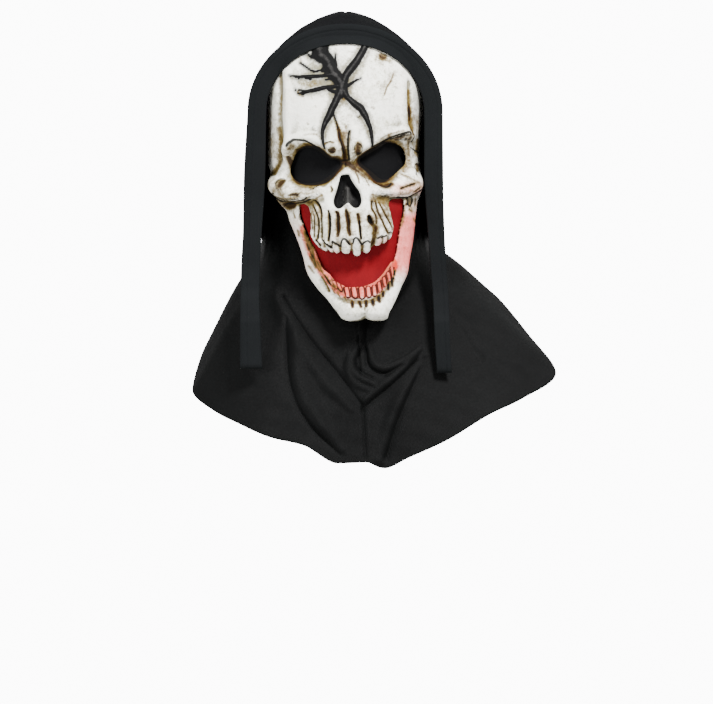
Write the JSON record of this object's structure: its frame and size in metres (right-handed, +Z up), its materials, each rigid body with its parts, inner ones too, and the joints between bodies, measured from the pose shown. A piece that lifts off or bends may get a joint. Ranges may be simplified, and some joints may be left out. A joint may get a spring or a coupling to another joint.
{
  "type": "skull mask with hood",
  "caption": "Antiqued white plastic skull face mask with an open jaw and a red mesh mouth, sewn to a black cloth hood with hanging band ends and a draped cowl.",
  "frame": {"origin": "inside of the hood at the crown, where the wearer's head holds the mask up", "axes": "+Z up, the face looks along -Y, +X to the viewer's right when looking at the face"},
  "size_m": [0.3853, 0.2356, 0.4888],
  "materials": {
    "mask_plastic": "moulded off-white shell, hand-antiqued with brown stains, black nose and raised black cracks",
    "mouth_mesh": "fine red mesh",
    "eye_mesh": "fine black mesh",
    "hood_cloth": "matt black knit",
    "band_cloth": "matt black knit, doubled and pressed",
    "cowl_cloth": "black knit with a soft sheen"
  },
  "bodies": {
    "root": {"mask_shell": "mask_plastic", "mouth_cloth": "mouth_mesh", "eye_mesh_left": "eye_mesh", "eye_mesh_right": "eye_mesh", "hood": "hood_cloth", "hood_band": "band_cloth", "cowl": "cowl_cloth"}
  },
  "joints": []
}
